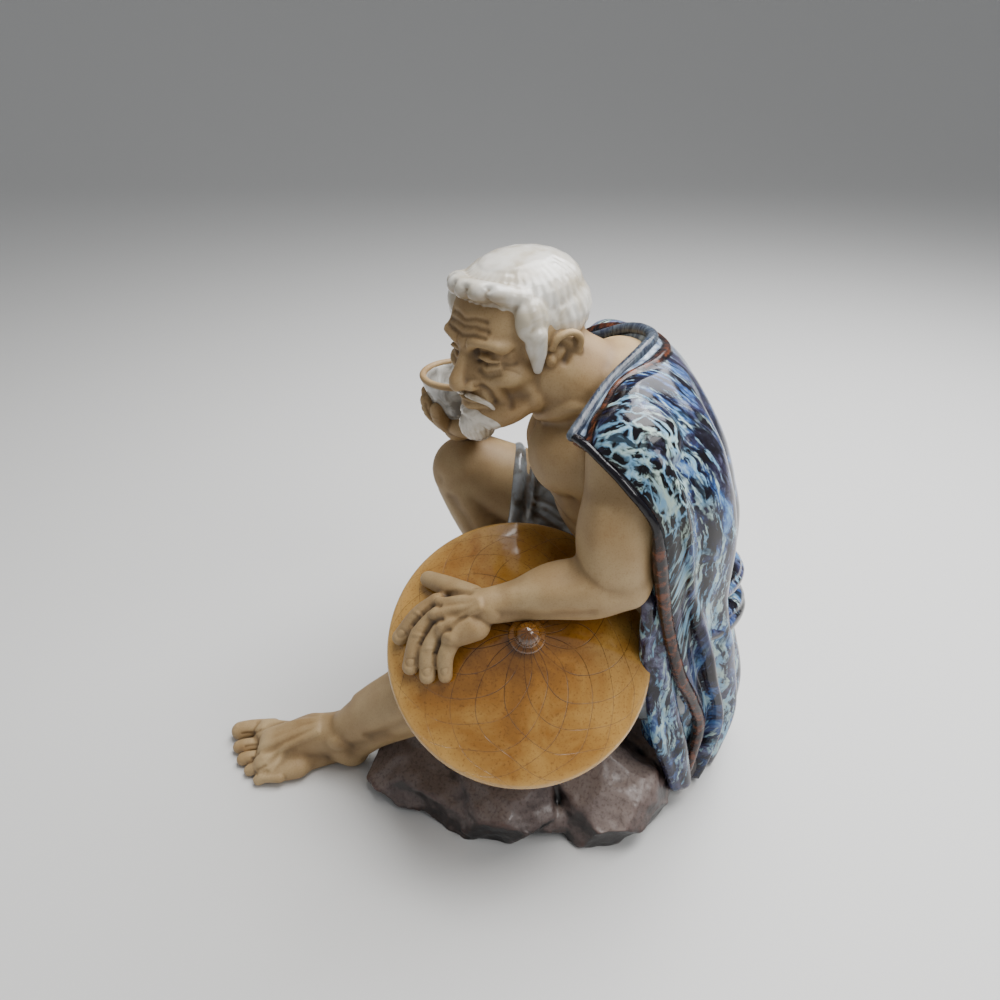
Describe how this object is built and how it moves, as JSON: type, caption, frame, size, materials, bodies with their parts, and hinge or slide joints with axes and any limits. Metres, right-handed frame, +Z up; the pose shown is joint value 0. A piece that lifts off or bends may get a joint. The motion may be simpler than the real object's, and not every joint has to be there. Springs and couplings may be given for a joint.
{
  "type": "mudman figurine",
  "caption": "Glazed stoneware figurine of a seated old man leaning over a straw hat on his knee, a wine bowl in his hand and a long robe down his back.",
  "frame": {"origin": "ground point under the middle of the bounding box", "axes": "+Z up, -Y the way the figure's chest and outstretched foot point, +X to the figure's left, where the hat is"},
  "size_m": [0.1135, 0.1592, 0.1505],
  "materials": {
    "stoneware": "unglazed matt tan stoneware, the bare skin of the figure",
    "blue_glaze": "glossy mottled blue, violet and cream flambe glaze on the robe, breaking to copper brown on its edges",
    "amber_glaze": "glossy transparent amber glaze on the hat, with fine incised straw lines",
    "white_glaze": "glossy milky white glaze on hair, beard, bowl and trousers",
    "rock_glaze": "satin brown and grey glaze on the rock"
  },
  "bodies": {
    "root": {"figurine": "stoneware"}
  },
  "joints": []
}
